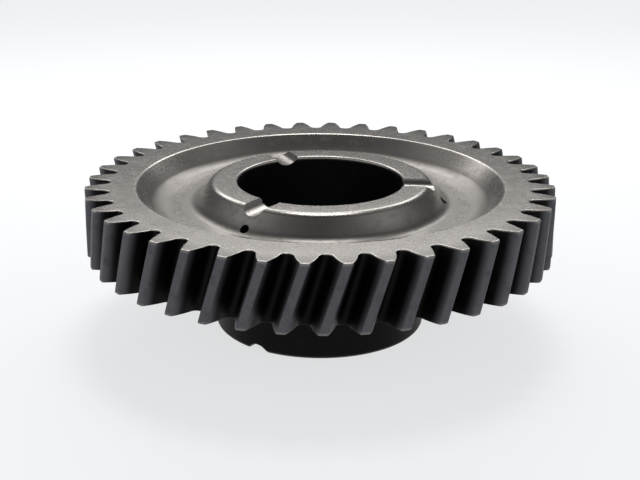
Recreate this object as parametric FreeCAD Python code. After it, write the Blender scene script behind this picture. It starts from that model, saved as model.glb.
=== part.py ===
"""Helical transmission gear, turned and hobbed from one steel forging.

A ring of right-hand helical involute teeth stands on a rim. A thinner web, recessed on both sides,
joins the rim to a long hub that reaches far below the teeth. The hub has a plain bore for its
bearing, three half-round oil grooves across each end face, and three drilled oil holes that slant
from the foot of the upper hub down into the bore, one in line with each groove.

Millimetres. +Z is the bore axis, and the origin is the centre of the hub's lower end face.
"""

import FreeCAD, Part

import math
import os

from FreeCAD import Vector

# Teeth, by the usual rules for full-depth helical gears
TOOTH_COUNT = 40
NORMAL_MODULE = 2.5
HELIX_ANGLE = 17.0
NORMAL_PRESSURE_ANGLE = 20.0
ADDENDUM_IN_MODULES = 1.0
DEDENDUM_IN_MODULES = 1.25
TOOTH_THINNING = 0.1
TOOTH_END_CHAMFER = 0.6

# A tooth space is centred this far round from the first oil groove, on the rim's upper face
TOOTH_SPACE_BEARING = 6.5

# Rim and web
FACE_WIDTH = 15.6
RIM_WALL = 6.2
RIM_DRAFT = 45.0
RIM_FOOT_ROUND = 3.0
RECESS_DEPTH = 4.7
WEB_THICKNESS = 5.5
WEB_CORNER_BEVEL = 1.5

# Hub
BORE_DIAMETER = 38.8
BORE_CHAMFER = 0.6
UPPER_HUB_WALL = 6.1
UPPER_HUB_DRAFT = 38.0
UPPER_HUB_CHAMFER = 0.8
HUB_PROUD_OF_RIM = 0.5
LOWER_HUB_WALL = 5.5
LOWER_HUB_CHAMFER = 1.4
HUB_BELOW_RIM = 19.0

# Oil grooves and oil holes, the first of each on +X
OIL_WAY_COUNT = 3
GROOVE_WIDTH = 5.8
GROOVE_DEPTH = 1.8
OIL_HOLE_DIAMETER = 2.2
OIL_HOLE_SLOPE = 40.0

# Cutters run this far past the faces that they open
CUTTER_OVERRUN = 1.0

FULL_TURN = 360.0
AXIS = Vector(0, 0, 1)
CENTRE = Vector(0, 0, 0)


def sine(degrees):
    return math.sin(math.radians(degrees))


def cosine(degrees):
    return math.cos(math.radians(degrees))


def tangent(degrees):
    return math.tan(math.radians(degrees))


# Radii of the teeth, in the plane across the axis
pitch_radius = TOOTH_COUNT * NORMAL_MODULE / cosine(HELIX_ANGLE) / 2
tip_radius = pitch_radius + ADDENDUM_IN_MODULES * NORMAL_MODULE
root_radius = pitch_radius - DEDENDUM_IN_MODULES * NORMAL_MODULE
pressure_angle = math.atan(tangent(NORMAL_PRESSURE_ANGLE) / cosine(HELIX_ANGLE))
base_radius = pitch_radius * math.cos(pressure_angle)

# Heights above the hub's lower end face
rim_bottom = HUB_BELOW_RIM
rim_top = rim_bottom + FACE_WIDTH
hub_top = rim_top + HUB_PROUD_OF_RIM
web_top = rim_top - RECESS_DEPTH
web_bottom = web_top - WEB_THICKNESS

# Radii of the hub and of the rim's inner side, whose walls lean back from the web
bore_radius = BORE_DIAMETER / 2
upper_hub_radius = bore_radius + UPPER_HUB_WALL
upper_hub_foot = upper_hub_radius + (hub_top - web_top) * tangent(UPPER_HUB_DRAFT)
lower_hub_radius = bore_radius + LOWER_HUB_WALL
rim_inner_radius = root_radius - RIM_WALL
upper_rim_foot = rim_inner_radius - (rim_top - web_top) * tangent(RIM_DRAFT)
lower_rim_foot = rim_inner_radius - (web_bottom - rim_bottom) * tangent(RIM_DRAFT)


def softened_outline(corners):
    """A closed outline in the XZ plane through corners given as (radius, height, bevel, rounding).

    A bevel cuts its corner off at that distance along both sides. A rounding is an arc of that
    radius, which touches both sides. Two that would meet on a short side are both made smaller.
    """
    points = [Vector(radius, 0, height) for radius, height, _, _ in corners]
    following = points[1:] + points[:1]
    onward = [(end - start).normalize() for start, end in zip(points, following)]
    backward = [way * -1 for way in onward[-1:] + onward[:-1]]
    half_angles = [ahead.getAngle(behind) / 2 for ahead, behind in zip(onward, backward)]
    setbacks = [
        bevel + rounding / math.tan(half)
        for (_, _, bevel, rounding), half in zip(corners, half_angles)
    ]
    for index, (start, end) in enumerate(zip(points, following)):
        after = (index + 1) % len(points)
        crowding = (setbacks[index] + setbacks[after]) / (0.95 * start.distanceToPoint(end))
        if crowding > 1:
            setbacks[index] /= crowding
            setbacks[after] /= crowding

    edges = []
    for index, (point, half, setback) in enumerate(zip(points, half_angles, setbacks)):
        before = point + backward[index] * setback
        beyond = point + onward[index] * setback
        if corners[index][3] > 0:
            radius = setback * math.tan(half)
            bisector = (onward[index] + backward[index]).normalize()
            middle = point + bisector * (radius / math.sin(half) - radius)
            edges.append(Part.Arc(before, middle, beyond).toShape())
        elif setback > 0:
            edges.append(Part.makeLine(before, beyond))
        after = (index + 1) % len(points)
        edges.append(Part.makeLine(beyond, points[after] + backward[after] * setbacks[after]))
    return Part.Wire(edges)


def turned_blank():
    """The forging as it leaves the lathe: rim, recessed web and hub, with no teeth yet."""
    outline = softened_outline(
        [
            (bore_radius, 0, BORE_CHAMFER, 0),
            (lower_hub_radius, 0, LOWER_HUB_CHAMFER, 0),
            (lower_hub_radius, web_bottom, WEB_CORNER_BEVEL, 0),
            (lower_rim_foot, web_bottom, WEB_CORNER_BEVEL, 0),
            (rim_inner_radius, rim_bottom, 0, 0),
            (tip_radius, rim_bottom, TOOTH_END_CHAMFER, 0),
            (tip_radius, rim_top, TOOTH_END_CHAMFER, 0),
            (rim_inner_radius, rim_top, 0, 0),
            (upper_rim_foot, web_top, 0, RIM_FOOT_ROUND),
            (upper_hub_foot, web_top, WEB_CORNER_BEVEL, 0),
            (upper_hub_radius, hub_top, UPPER_HUB_CHAMFER, 0),
            (bore_radius, hub_top, BORE_CHAMFER, 0),
        ]
    )
    return Part.Face(outline).revolve(CENTRE, AXIS, FULL_TURN)


def at(radius, angle):
    """A point in the XY plane, with its angle in radians."""
    return Vector(radius * math.cos(angle), radius * math.sin(angle), 0)


def other_side(point):
    """The same point on the other side of the X axis."""
    return Vector(point.x, -point.y, 0)


def involute_angle(radius):
    """How far an involute has gone round the base circle when it reaches a radius, in radians."""
    string = math.sqrt(radius**2 - base_radius**2) / base_radius
    return string - math.atan(string)


def flank_start_and_foot():
    """Where a flank leaves the base circle, and the radius where it runs into the round root.

    The root is one arc, which touches both flanks and the root circle. The line from its centre to
    the end of a flank touches the base circle, as every normal of an involute does. That line gives
    the angle at which the arc's centre would lie. It is zero, in the middle of the space, for the
    one radius that is sought here, by halving.
    """
    half_space = math.pi / TOOTH_COUNT / 2 + TOOTH_THINNING / pitch_radius / 2
    start = half_space - involute_angle(pitch_radius)
    smallest = max(0, base_radius - root_radius)
    largest = NORMAL_MODULE
    for _ in range(40):
        arc_radius = (smallest + largest) / 2
        to_centre = math.sqrt((root_radius + arc_radius) ** 2 - base_radius**2)
        to_flank = to_centre - arc_radius
        centre_angle = start + to_flank / base_radius - math.atan(to_centre / base_radius)
        if centre_angle > 0:
            smallest = arc_radius
        else:
            largest = arc_radius
    return start, math.hypot(base_radius, to_flank)


def tooth_space_outline():
    """The space between two teeth, in the XY plane and centred on +X: two flanks and a round root."""
    flank_start, foot_radius = flank_start_and_foot()
    outer_radius = tip_radius + CUTTER_OVERRUN
    flank_radii = [foot_radius, pitch_radius, outer_radius]
    flank = [at(radius, flank_start + involute_angle(radius)) for radius in flank_radii]
    near = Part.BSplineCurve()
    near.interpolate([other_side(point) for point in reversed(flank)])
    far = Part.BSplineCurve()
    far.interpolate(flank)
    root = Part.Arc(other_side(flank[0]), at(root_radius, 0), flank[0])
    mouth = Part.makeLine(flank[-1], other_side(flank[-1]))
    return Part.Wire([near.toShape(), root.toShape(), far.toShape(), mouth])


def tooth_space():
    """One tooth space as a solid, which follows the right-hand helix past both faces of the rim.

    It is ruled through three copies of its outline, so it leaves the true helix by under 0.02 mm.
    """
    outline = tooth_space_outline()
    half_length = FACE_WIDTH / 2 + CUTTER_OVERRUN
    middle = rim_bottom + FACE_WIDTH / 2
    sections = []
    for height in (middle - half_length, middle, middle + half_length):
        twist = math.degrees((height - rim_top) * tangent(HELIX_ANGLE) / pitch_radius)
        section = outline.copy()
        section.rotate(CENTRE, AXIS, TOOTH_SPACE_BEARING + twist)
        section.translate(AXIS * height)
        sections.append(section)
    return Part.makeLoft(sections, True, True)


def copies_round_axis(shape, count):
    """Copies of a shape at even angles about the bore axis."""
    copies = []
    for index in range(count):
        turned = shape.copy()
        turned.rotate(CENTRE, AXIS, FULL_TURN * index / count)
        copies.append(turned)
    return copies


def oil_groove(face_height, outward):
    """A round bar along +X that leaves a groove of the named width and depth in a hub end face."""
    radius = (GROOVE_WIDTH**2 / 4 + GROOVE_DEPTH**2) / (2 * GROOVE_DEPTH)
    start = Vector(bore_radius - GROOVE_WIDTH, 0, face_height + outward * (radius - GROOVE_DEPTH))
    reach = upper_hub_foot + CUTTER_OVERRUN - start.x
    return Part.makeCylinder(radius, reach, start, Vector(1, 0, 0))


def oil_hole():
    """A drill in the XZ plane, aimed through the upper hub's foot and down into the bore."""
    way_down = Vector(-cosine(OIL_HOLE_SLOPE), 0, -sine(OIL_HOLE_SLOPE))
    foot = Vector(upper_hub_foot, 0, web_top)
    lead = WEB_CORNER_BEVEL + OIL_HOLE_DIAMETER
    run = (upper_hub_foot - bore_radius + OIL_HOLE_DIAMETER) / cosine(OIL_HOLE_SLOPE)
    return Part.makeCylinder(OIL_HOLE_DIAMETER / 2, lead + run, foot - way_down * lead, way_down)


def helical_gear():
    cutters = copies_round_axis(tooth_space(), TOOTH_COUNT)
    cutters += copies_round_axis(oil_groove(hub_top, 1), OIL_WAY_COUNT)
    cutters += copies_round_axis(oil_groove(0, -1), OIL_WAY_COUNT)
    cutters += copies_round_axis(oil_hole(), OIL_WAY_COUNT)
    return turned_blank().cut(cutters).Solids[0]


os.makedirs("parts", exist_ok=True)
gear = helical_gear()
gear.exportStep("parts/helical_gear.step")
print("volume", round(gear.Volume), "mm3, tip diameter", round(2 * tip_radius, 2), "mm")
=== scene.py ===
from math import atan, atan2, cos, degrees, hypot, pi, radians, sin, sqrt, tan

import bmesh
import bpy
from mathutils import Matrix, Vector


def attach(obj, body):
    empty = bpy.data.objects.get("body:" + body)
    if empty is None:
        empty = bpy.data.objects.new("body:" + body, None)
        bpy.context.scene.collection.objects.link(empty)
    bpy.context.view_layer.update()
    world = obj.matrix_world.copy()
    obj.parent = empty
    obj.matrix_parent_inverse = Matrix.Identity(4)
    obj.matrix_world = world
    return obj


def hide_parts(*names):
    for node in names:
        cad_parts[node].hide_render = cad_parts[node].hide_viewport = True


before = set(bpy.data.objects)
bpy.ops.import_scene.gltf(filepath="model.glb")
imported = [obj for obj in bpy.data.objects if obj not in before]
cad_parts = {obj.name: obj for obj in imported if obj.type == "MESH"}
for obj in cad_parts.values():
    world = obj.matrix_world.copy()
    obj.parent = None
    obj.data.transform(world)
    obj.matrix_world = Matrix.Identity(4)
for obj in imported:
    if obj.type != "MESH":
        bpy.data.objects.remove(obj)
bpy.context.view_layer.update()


# The turned blank.
# One steel forging, turned all over on a lathe: the flat rim faces, the recessed web, the conical
# upper hub, the long lower hub and the bore. Its outline is drawn once and spun about the axis.

mm = 0.001


def point(radius, bearing, height):
    """A place on the gear, from its radius and height in millimetres and its bearing in degrees."""
    turn = radians(bearing)
    return Vector((radius * cos(turn), radius * sin(turn), height)) * mm


def start_drawing(name, first):
    """A new mesh object in edit mode that holds one vertex, at the origin of its own drawing."""
    bpy.ops.object.select_all(action="DESELECT")
    bpy.ops.mesh.primitive_plane_add(size=mm, location=(0, 0, 0))
    piece = bpy.context.object
    piece.name = name
    bpy.ops.object.mode_set(mode="EDIT")
    bpy.ops.mesh.select_all(action="SELECT")
    bpy.ops.mesh.merge(type="CENTER")
    bpy.ops.transform.translate(value=first)
    return piece


def draw_line(points):
    """Extrudes the one selected vertex from point to point."""
    for here, there in zip(points, points[1:]):
        bpy.ops.mesh.extrude_vertices_move(TRANSFORM_OT_translate={"value": there - here})


def pick(piece, mode, test):
    """Selects, in edit mode, only the vertices, edges or faces for which the test is true."""
    bpy.ops.mesh.select_mode(type=mode)
    bpy.ops.mesh.select_all(action="DESELECT")
    mesh = bmesh.from_edit_mesh(piece.data)
    for part in {"VERT": mesh.verts, "EDGE": mesh.edges, "FACE": mesh.faces}[mode]:
        if test(part):
            part.select_set(True)
    mesh.select_flush_mode()
    bmesh.update_edit_mesh(piece.data)


bore = 19.4
upper_hub = 25.5
upper_hub_foot = 29.56
lower_hub = 24.9
rim_inside = 42.96
rim_foot = 38.26
lower_rim_foot = 37.56
seam = 48.4
hub_top = 35.1
rim_top = 34.6
web_top = 29.9
web_bottom = 24.4
rim_bottom = 19.0
tooth_space_bearing = 6.5
segments_per_tooth = 8
teeth = 40

# Radius and height of each corner, and how far back along its sides it is rounded off
outline = [
    (seam, rim_top, 0),
    (rim_inside, rim_top, 0.25),
    (rim_foot, web_top, 1.8),
    (upper_hub_foot, web_top, 1.5),
    (upper_hub, hub_top, 1.0),
    (bore, hub_top, 0.6),
    (bore, 0, 0.6),
    (lower_hub, 0, 1.2),
    (lower_hub, web_bottom, 1.9),
    (lower_rim_foot, web_bottom, 1.9),
    (rim_inside, rim_bottom, 0.5),
    (seam, rim_bottom, 0),
]
corners = [point(radius, tooth_space_bearing, height) for radius, height, _ in outline]
nearness = 0.01 * mm
gear = start_drawing("gear", corners[0])
draw_line(corners)
for corner, (_, _, setback) in zip(corners, outline):
    if setback:
        pick(gear, "VERT", lambda vertex: (vertex.co - corner).length < nearness)
        bpy.ops.mesh.bevel(affect="VERTICES", offset=setback * mm, segments=5, clamp_overlap=False)
bpy.ops.mesh.select_mode(type="VERT")
bpy.ops.mesh.select_all(action="SELECT")
bpy.ops.mesh.spin(steps=teeth * segments_per_tooth, angle=2 * pi, center=(0, 0, 0), axis=(0, 0, 1))
bpy.ops.mesh.select_all(action="SELECT")
bpy.ops.mesh.remove_doubles(threshold=0.001 * mm)
bpy.ops.object.mode_set(mode="OBJECT")


# The toothing.
# 40 right-hand helical involute teeth, hobbed into the rim. One tooth is drawn, from the middle of
# one space to the middle of the next, drawn down along the helix, and then copied round.

pitch_radius = 52.285
tip_radius = 54.785
root_radius = 49.16
base_radius = 48.865
root_arc = 1.44
flank_foot = 50.247
tooth_thinning = 0.1
helix_angle = 17
face_width = rim_top - rim_bottom
pitch_angle = 360 / teeth
helix_turn = degrees(face_width * tan(radians(helix_angle)) / pitch_radius)
steps_round = 6
steps_down = 8


def unwound(radius):
    """How far an involute has gone round when it reaches a radius, in degrees."""
    string = sqrt(radius**2 - base_radius**2) / base_radius
    return degrees(string - atan(string))


# Half a tooth as radii and bearings: the root arc, the involute flank, and a point on the crest
flank_start = degrees((pi / teeth + tooth_thinning / pitch_radius) / 2) - unwound(pitch_radius)
arc_centre = root_radius + root_arc
foot_turn = radians(flank_start + unwound(flank_foot))
arc_end = atan2(flank_foot * sin(foot_turn), arc_centre - flank_foot * cos(foot_turn))
half_tooth = []
for step in range(steps_round):
    turn = arc_end * step / steps_round
    across, along = root_arc * sin(turn), arc_centre - root_arc * cos(turn)
    half_tooth.append((hypot(across, along), degrees(atan2(across, along))))
for step in range(steps_round + 1):
    radius = flank_foot + (tip_radius - flank_foot) * step / steps_round
    half_tooth.append((radius, flank_start + unwound(radius)))
half_tooth.append((tip_radius, half_tooth[-1][1] * 0.5 + pitch_angle * 0.25))
tooth = half_tooth + [(tip_radius, pitch_angle / 2)]
tooth += [(radius, pitch_angle - bearing) for radius, bearing in reversed(half_tooth)]
under_tooth = [
    (seam, pitch_angle * (1 - step / segments_per_tooth)) for step in range(segments_per_tooth + 1)
]


def tooth_end(height, turned):
    """The end face of the one tooth, down to the seam with the blank."""
    return [point(radius, turned + bearing, height) for radius, bearing in tooth + under_tooth]


upper_end = tooth_end(rim_top, tooth_space_bearing)
lower_end = tooth_end(rim_bottom, tooth_space_bearing - helix_turn)
toothing = start_drawing("toothing", upper_end[0])
draw_line(upper_end)
bpy.ops.mesh.select_all(action="SELECT")
bpy.ops.mesh.edge_face_add()
pick(toothing, "VERT", lambda vertex: vertex.co.xy.length > root_radius * mm - nearness)
for step in range(steps_down):
    bpy.ops.mesh.extrude_edges_move(
        TRANSFORM_OT_translate={"value": (0, 0, -face_width / steps_down * mm)}
    )
    bpy.ops.transform.rotate(
        value=radians(helix_turn / steps_down),
        orient_axis="Z",
        orient_type="GLOBAL",
        center_override=(0, 0, 0),
    )
bpy.ops.mesh.select_all(action="DESELECT")
bpy.ops.object.mode_set(mode="OBJECT")
lower_face = start_drawing("lower_face", lower_end[0])
draw_line(lower_end)
bpy.ops.mesh.select_all(action="SELECT")
bpy.ops.mesh.edge_face_add()
bpy.ops.object.mode_set(mode="OBJECT")
bpy.ops.object.select_all(action="DESELECT")
lower_face.select_set(True)
toothing.select_set(True)
bpy.context.view_layer.objects.active = toothing
bpy.ops.object.join()
bpy.ops.object.mode_set(mode="EDIT")
bpy.ops.mesh.select_all(action="SELECT")
bpy.ops.mesh.spin(
    steps=teeth, dupli=True, angle=2 * pi, center=(0, 0, 0), axis=(0, 0, 1), use_auto_merge=False
)
bpy.ops.object.mode_set(mode="OBJECT")


# The rim in one piece.
# The teeth are cut from the same steel as the blank. The blank's lower seam is turned a little, as
# far as the helix asks, so that its points meet those under the teeth, and then both are merged.

bpy.ops.object.select_all(action="DESELECT")
gear.select_set(True)
bpy.context.view_layer.objects.active = gear
bpy.ops.object.mode_set(mode="EDIT")
pick(
    gear,
    "VERT",
    lambda vertex: vertex.co.xy.length > seam * mm - nearness and vertex.co.z < web_bottom * mm,
)
bpy.ops.transform.rotate(
    value=radians(helix_turn % (pitch_angle / segments_per_tooth)),
    orient_axis="Z",
    orient_type="GLOBAL",
    center_override=(0, 0, 0),
)
bpy.ops.object.mode_set(mode="OBJECT")
toothing.select_set(True)
bpy.ops.object.join()
bpy.ops.object.mode_set(mode="EDIT")
bpy.ops.mesh.select_mode(type="VERT")
bpy.ops.mesh.select_all(action="SELECT")
bpy.ops.mesh.remove_doubles(threshold=nearness)
bpy.ops.mesh.normals_make_consistent(inside=False)
bpy.ops.object.mode_set(mode="OBJECT")


# Softened edges.
# The hobbed teeth and the rim are deburred by brushing, so each sharp edge has a small soft
# chamfer that catches the light.

softening = 0.3
bpy.ops.object.mode_set(mode="EDIT")
bpy.ops.mesh.select_mode(type="EDGE")
bpy.ops.mesh.select_all(action="DESELECT")
bpy.ops.mesh.edges_select_sharp(sharpness=radians(38))
bpy.ops.mesh.bevel(affect="EDGES", offset=softening * mm, segments=2, clamp_overlap=False)
bpy.ops.object.mode_set(mode="OBJECT")


# Oil grooves and oil holes.
# Three half-round grooves are milled across each end face of the hub, so that oil reaches the thrust
# faces. Three drilled holes slant from the upper hub's foot into the bore, one below each groove.

groove_width = 5.8
groove_depth = 1.8
groove_radius = (groove_width**2 / 4 + groove_depth**2) / (2 * groove_depth)
overrun = 1
groove_reach = upper_hub_foot + overrun - (bore - groove_width)
groove_middle = bore - groove_width + groove_reach / 2
cutters = []
for face, outward in ((hub_top, 1), (0, -1)):
    bpy.ops.object.select_all(action="DESELECT")
    bpy.ops.mesh.primitive_cylinder_add(
        vertices=72,
        radius=groove_radius * mm,
        depth=groove_reach * mm,
        location=point(groove_middle, 0, face + outward * (groove_radius - groove_depth)),
        rotation=(0, radians(90), 0),
    )
    bpy.ops.object.transform_apply(location=True, rotation=True, scale=True)
    cutters.append(bpy.context.object)
oil_hole = 2.2
hole_slope = 40
hole_lead = 3.7
hole_run = (upper_hub_foot - bore + oil_hole) / cos(radians(hole_slope))
hole_middle = (hole_run - hole_lead) / 2
bpy.ops.object.select_all(action="DESELECT")
bpy.ops.mesh.primitive_cylinder_add(
    vertices=48,
    radius=oil_hole / 2 * mm,
    depth=(hole_lead + hole_run) * mm,
    location=point(
        upper_hub_foot - hole_middle * cos(radians(hole_slope)),
        0,
        web_top - hole_middle * sin(radians(hole_slope)),
    ),
    rotation=(0, radians(hole_slope), 0),
)
bpy.ops.object.transform_apply(location=True, rotation=True, scale=True)
cutters.append(bpy.context.object)
for cutter in cutters:
    bpy.ops.object.select_all(action="DESELECT")
    cutter.select_set(True)
    bpy.context.view_layer.objects.active = cutter
    bpy.ops.object.mode_set(mode="EDIT")
    bpy.ops.mesh.select_all(action="SELECT")
    bpy.ops.mesh.spin(
        steps=3, dupli=True, angle=2 * pi, center=(0, 0, 0), axis=(0, 0, 1), use_auto_merge=False
    )
    bpy.ops.mesh.select_all(action="SELECT")
    bpy.ops.mesh.remove_doubles(threshold=0.001 * mm)
    bpy.ops.mesh.normals_make_consistent(inside=False)
    bpy.ops.object.mode_set(mode="OBJECT")
    cut = gear.modifiers.new("oil_way", "BOOLEAN")
    cut.operation = "DIFFERENCE"
    cut.solver = "EXACT"
    cut.object = cutter
    bpy.ops.object.select_all(action="DESELECT")
    gear.select_set(True)
    bpy.context.view_layer.objects.active = gear
    bpy.ops.object.modifier_apply(modifier=cut.name)
    bpy.data.objects.remove(cutter)
bpy.ops.object.shade_smooth_by_angle(angle=radians(32))

# The flat faces stay flat to the eye, and the roundings take up the whole turn between them
bpy.ops.object.modifier_add(type="WEIGHTED_NORMAL")
gear.modifiers[-1].keep_sharp = True
gear.modifiers[-1].weight = 100
bpy.ops.object.modifier_apply(modifier=gear.modifiers[-1].name)
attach(gear, "root")
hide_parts("helical_gear")


# Case-hardened steel.
# The faces are turned after hardening, and are satin grey. The flanks keep the dark film of the
# furnace, with painted shade towards their roots, and the bore and long hub are painted dark as shade.
# Use has polished crests and corners, and the hollows are darkened by dirt and by painted shade.


def linear(hex_colour):
    """A colour written as sRGB hex, as the linear values that the shaders take."""
    channels = [int(hex_colour[place : place + 2], 16) / 255 for place in (0, 2, 4)]
    return [c / 12.92 if c <= 0.04045 else ((c + 0.055) / 1.055) ** 2.4 for c in channels] + [1]


def add(tree, kind, settings, inputs, output=0):
    """Adds a node with its settings and with inputs by name or number, and returns one output."""
    node = tree.nodes.new(kind)
    for name, value in settings.items():
        setattr(node, name, value)
    for name, value in inputs.items():
        if isinstance(value, bpy.types.NodeSocket):
            tree.links.new(value, node.inputs[name])
        else:
            node.inputs[name].default_value = value
    return node.outputs[output]


product = {"operation": "MULTIPLY"}
larger = {"operation": "MAXIMUM"}
sum_of = {"operation": "ADD"}
smooth = {"interpolation_type": "SMOOTHSTEP"}
colours = {"data_type": "RGBA"}

steel = bpy.data.materials.new("case_hardened_steel")
steel.use_nodes = True
tree = steel.node_tree
shader = tree.nodes["Principled BSDF"]
shader.inputs["Metallic"].default_value = 1

spot = add(tree, "ShaderNodeTexCoord", {}, {}, "Object")
across = add(tree, "ShaderNodeVectorMath", product, {0: spot, 1: (1, 1, 0)})
radius = add(tree, "ShaderNodeVectorMath", {"operation": "LENGTH"}, {0: across}, "Value")
height = add(tree, "ShaderNodeSeparateXYZ", {}, {"Vector": spot}, "Z")
section = add(tree, "ShaderNodeCombineXYZ", {}, {"X": radius, "Y": height})

# The dark zones, each bounded by sizes in millimetres between which it sets in: furnace film on the
# flanks, and painted shade in the bore and on the long hub
tooth_zone = [(radius, seam + 0.2, seam + 0.6), (height, rim_top - 0.15, rim_top - 0.35)]
tooth_zone += [(height, rim_bottom + 0.02, rim_bottom + 0.15)]
# The bore and the long hub are painted dark for the shade they lie in
bore_shade_zone = [(radius, bore + 0.5, bore + 0.2), (height, hub_top - 0.6, hub_top - 0.9)]
lower_hub_shade_zone = [(radius, 30, 26), (height, web_bottom - 0.2, web_bottom - 1.2), (height, 0.1, 0.4)]
film_and_shade = 0
for zone in (tooth_zone, bore_shade_zone, lower_hub_shade_zone):
    inside = 1
    for size, none, full in zone:
        limits = {"Value": size, "From Min": none * mm, "From Max": full * mm}
        amount = add(tree, "ShaderNodeMapRange", smooth, limits)
        inside = add(tree, "ShaderNodeMath", product, {0: inside, 1: amount})
    film_and_shade = add(tree, "ShaderNodeMath", larger, {0: film_and_shade, 1: inside})

# Corners as radius and height. The polish reaches 0.9 mm from one, and the darkening of the hollow
# corners, dirt and painted shade, 3.5 mm
standing_out = [(rim_inside, rim_top), (upper_hub, hub_top), (bore, hub_top), (tip_radius, rim_top)]
standing_out += [(rim_inside, rim_bottom), (lower_hub, 0), (bore, 0), (tip_radius, rim_bottom)]
lying_in = [(rim_foot, web_top), (upper_hub_foot, web_top)]
lying_in += [(lower_rim_foot, web_bottom), (lower_hub, web_bottom)]
marks = []
for places, reach in ((standing_out, 0.9), (lying_in, 3.5)):
    nearest = 0
    for corner_radius, corner_height in places:
        corner = {0: section, 1: (corner_radius * mm, corner_height * mm, 0)}
        distance = add(tree, "ShaderNodeVectorMath", {"operation": "DISTANCE"}, corner, "Value")
        limits = {"Value": distance, "From Min": reach * mm, "From Max": 0.2 * reach * mm}
        near = add(tree, "ShaderNodeMapRange", smooth, limits)
        nearest = add(tree, "ShaderNodeMath", larger, {0: nearest, 1: near})
    marks.append(nearest)
polish, corner_dirt_and_shade = marks

# Clouds 9 mm across, left by hardening, and oil stains of 2.5 mm
cloud_size = {"Vector": spot, "Scale": 1 / (9 * mm), "Detail": 4, "Roughness": 0.6}
clouds = add(tree, "ShaderNodeTexNoise", {}, cloud_size)
stain_size = {"Vector": spot, "Scale": 1 / (2.5 * mm), "Detail": 5, "Roughness": 0.7}
spread = add(tree, "ShaderNodeTexNoise", {}, stain_size)
stains = add(tree, "ShaderNodeMapRange", smooth, {"Value": spread, "From Min": 0.48, "From Max": 0.72})

cloudy = {0: clouds, 6: linear("75716E"), 7: linear("938F8A")}
turned = add(tree, "ShaderNodeMix", colours, cloudy, 2)

# The film has smoked the ends of the teeth as well, more so towards their tips
smoke_limits = {"Value": radius, "From Min": 49 * mm, "From Max": tip_radius * mm, "To Max": 0.5}
smoke = add(tree, "ShaderNodeMapRange", smooth, smoke_limits)
smoked = {0: smoke, 6: turned, 7: linear("35312D")}
turned = add(tree, "ShaderNodeMix", colours, smoked, 2)

# Meshing wears the film on the crests and the tops of the flanks. Lower down the colour goes near
# black as painted shade in the tooth gaps, and the bore and long hub take this painted shade too
worn_limits = {"From Min": (tip_radius - 2.4) * mm, "From Max": (tip_radius - 0.3) * mm}
wear_over_shade = add(tree, "ShaderNodeMapRange", smooth, {"Value": radius, **worn_limits})
shaded_film = {0: wear_over_shade, 6: linear("1A191A"), 7: linear("59585D")}
shaded_film = add(tree, "ShaderNodeMix", colours, shaded_film, 2)
colour = add(tree, "ShaderNodeMix", colours, {0: film_and_shade, 6: turned, 7: shaded_film}, 2)
# The hollow corners are darkened with dirt and with painted shade
for mark, strength, shade in ((stains, 0.25, "2C2926"), (corner_dirt_and_shade, 0.4, "2C2926"), (polish, 0.3, "ABA7A1")):
    amount = add(tree, "ShaderNodeMath", product, {0: mark, 1: strength})
    colour = add(tree, "ShaderNodeMix", colours, {0: amount, 6: colour, 7: linear(shade)}, 2)
tree.links.new(colour, shader.inputs["Base Color"])

# The film and the painted shade are duller than a turned face, and so are the stains and the dirt
# with its painted shade
roughness = 0.27
for mark, strength in ((film_and_shade, 0.26), (stains, 0.08), (corner_dirt_and_shade, 0.1)):
    amount = add(tree, "ShaderNodeMath", product, {0: mark, 1: strength})
    roughness = add(tree, "ShaderNodeMath", sum_of, {0: roughness, 1: amount})
tree.links.new(roughness, shader.inputs["Roughness"])

# The tool moves out along a face and along a wall, so its rings follow radius and height. The real
# rings are 0.1 mm apart and the grain is finer still. Both are drawn coarser, so that they show
travel = add(tree, "ShaderNodeMath", sum_of, {0: radius, 1: height})
ring_size = {"W": travel, "Scale": 1 / (0.45 * mm), "Detail": 2}
rings = add(tree, "ShaderNodeTexNoise", {"noise_dimensions": "1D"}, ring_size)
grain_size = {"Vector": spot, "Scale": 1 / (0.35 * mm), "Detail": 3}
grain = add(tree, "ShaderNodeTexNoise", {}, grain_size)
relief = add(tree, "ShaderNodeMath", sum_of, {0: rings, 1: grain})
bump = {"Strength": 0.4, "Distance": 0.015 * mm, "Height": relief}
tree.links.new(add(tree, "ShaderNodeBump", {}, bump), shader.inputs["Normal"])
gear.data.materials.clear()
gear.data.materials.append(steel)


# The floor, the room, the lamps and the camera.
# White paper in a room that is light at the front and dim at the back and above, with a soft box low
# behind the gear and a lamp above it. Flat faces mirror the box, and walls mirror the dim ceiling.

bpy.ops.object.select_all(action="DESELECT")
bpy.ops.mesh.primitive_plane_add(size=4, location=(0, 0, 0))
floor = bpy.context.object
floor.name = "floor"
paper = bpy.data.materials.new("white_paper")
paper.use_nodes = True
sheet = paper.node_tree
matt = sheet.nodes["Principled BSDF"]
matt.inputs["Base Color"].default_value = linear("F6F8FA")
matt.inputs["Roughness"].default_value = 0.9
matt.inputs["Specular IOR Level"].default_value = 0

# The camera and the steel see the paper glow by itself, and three tenths of it are light that falls
# on it and holds the shadow
rays = add(sheet, "ShaderNodeLightPath", {}, {}).node.outputs
seen = 0
for kind in ("Is Camera Ray", "Is Glossy Ray", "Is Transmission Ray"):
    seen = add(sheet, "ShaderNodeMath", larger, {0: seen, 1: rays[kind]})
share = add(sheet, "ShaderNodeMath", product, {0: seen, 1: 0.7})
white = add(sheet, "ShaderNodeEmission", {}, {"Color": linear("FBFCFD"), "Strength": 1})
shown = add(sheet, "ShaderNodeMixShader", {}, {0: share, 1: matt.outputs[0], 2: white})
sheet.links.new(shown, sheet.nodes["Material Output"].inputs["Surface"])
floor.data.materials.append(paper)

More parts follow.
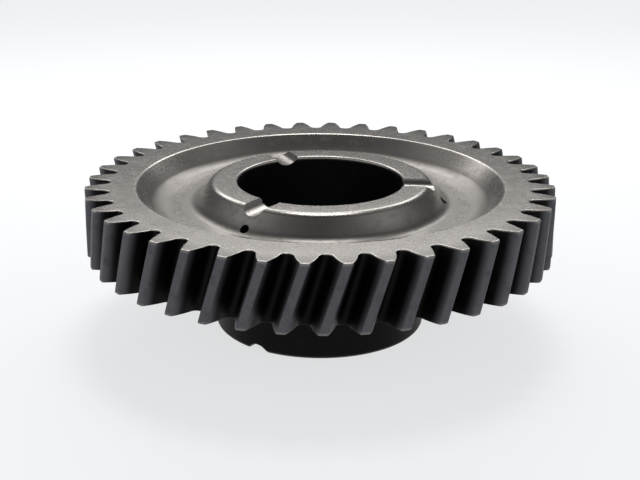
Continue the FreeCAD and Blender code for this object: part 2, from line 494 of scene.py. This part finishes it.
# The camera sees the room white
world = bpy.data.worlds.new("studio")
bpy.context.scene.world = world
world.use_nodes = True
room = world.node_tree
direction = add(room, "ShaderNodeTexCoord", {}, {}, "Generated")
backward = add(room, "ShaderNodeSeparateXYZ", {}, {"Vector": direction}, "Y")
walls = {"Value": backward, "From Min": -0.3, "From Max": 0.7, "To Min": 0.9, "To Max": 0.2}
wall = add(room, "ShaderNodeMapRange", smooth, walls)
toward_ceiling = {0: direction, 1: (0, -0.2, 0.98)}
upward = add(room, "ShaderNodeVectorMath", {"operation": "DOT_PRODUCT"}, toward_ceiling, "Value")
ceilings = {"Value": upward, "From Min": 0.6, "From Max": 1.0, "To Min": 1, "To Max": 0.08}
ceiling = add(room, "ShaderNodeMapRange", smooth, ceilings)
lit = add(room, "ShaderNodeMath", product, {0: wall, 1: ceiling})
straight = add(room, "ShaderNodeLightPath", {}, {}, "Is Camera Ray")
glow = add(room, "ShaderNodeMath", larger, {0: straight, 1: lit})
room.nodes["Background"].inputs["Color"].default_value = linear("F8FAFC")
room.links.new(glow, room.nodes["Background"].inputs["Strength"])

for name, place, wide, deep, power in (
    ("soft_box", (-0.035, 0.24, 0.22), 0.31, 0.1, 0.51),
    ("top_lamp", (-0.02, 0.27, 0.76), 0.25, 0.25, 2.4),
):
    lamp = bpy.data.objects.new(name, bpy.data.lights.new(name, "AREA"))
    bpy.context.scene.collection.objects.link(lamp)
    lamp.data.shape = "RECTANGLE"
    lamp.data.size = wide
    lamp.data.size_y = deep
    lamp.data.energy = power
    lamp.location = place
    lamp.rotation_euler = (-lamp.location).to_track_quat("-Z", "Y").to_euler()
    lamp.visible_camera = False

camera = bpy.data.objects.new("camera", bpy.data.cameras.new("camera"))
bpy.context.scene.collection.objects.link(camera)
camera.data.lens = 75.22
camera.data.sensor_width = 36
camera.data.clip_start = 0.01
camera.location = (0.026198, -0.299443, 0.127468)
aim = Vector((0, 0, 0.01995))
camera.rotation_euler = (aim - camera.location).to_track_quat("-Z", "Y").to_euler()
camera.rotation_euler.rotate_axis("Z", radians(0.341))
bpy.context.scene.camera = camera
bpy.context.scene.view_settings.view_transform = "Standard"
